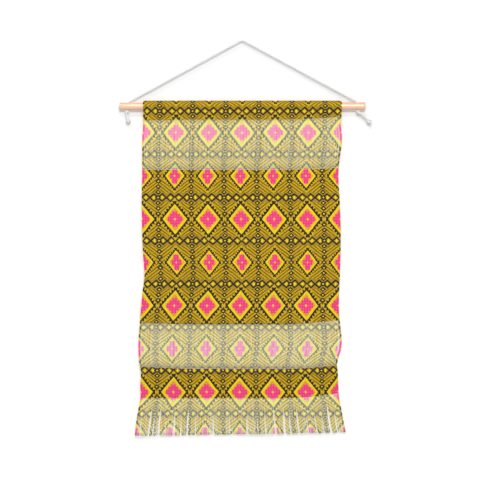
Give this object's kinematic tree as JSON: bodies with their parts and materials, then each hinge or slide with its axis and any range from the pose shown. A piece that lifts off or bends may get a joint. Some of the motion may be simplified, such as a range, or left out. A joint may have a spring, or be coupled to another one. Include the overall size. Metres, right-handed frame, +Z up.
{
  "type": "textile wall hanging on a wooden rod with a hanging cord",
  "caption": "Portrait printed cotton hanging: a rod sleeve, woven panels, open bands of loose warp and a warp fringe, on a round rod with a knotted cord.",
  "frame": {"origin": "hang point: the underside of the cord at its highest point, where the wall's hook holds it", "axes": "+Z up, printed face towards -Y, +X to the viewer's right"},
  "size_m": [0.7068, 0.0264, 1.1058],
  "materials": {
    "woven_cloth": "matt plain-woven cotton, printed on the front in gold, olive, yellow, pink and blue-black",
    "warp_yarn": "loose cotton warp threads, the print on them paler because light comes between them",
    "rod_wood": "pale sanded wood with a soft sheen",
    "cord_cotton": "white twisted cotton cord"
  },
  "bodies": {
    "root": {"rod": "rod_wood", "heading": "woven_cloth", "upper_warps": "warp_yarn", "middle_panel": "woven_cloth", "lower_warps": "warp_yarn", "lower_panel": "woven_cloth", "fringe": "warp_yarn", "hanger_cord": "cord_cotton", "stopper_knot_left": "cord_cotton", "stopper_knot_right": "cord_cotton", "tail_left": "cord_cotton", "tail_right": "cord_cotton", "end_knot_left": "cord_cotton", "end_knot_right": "cord_cotton"}
  },
  "joints": []
}
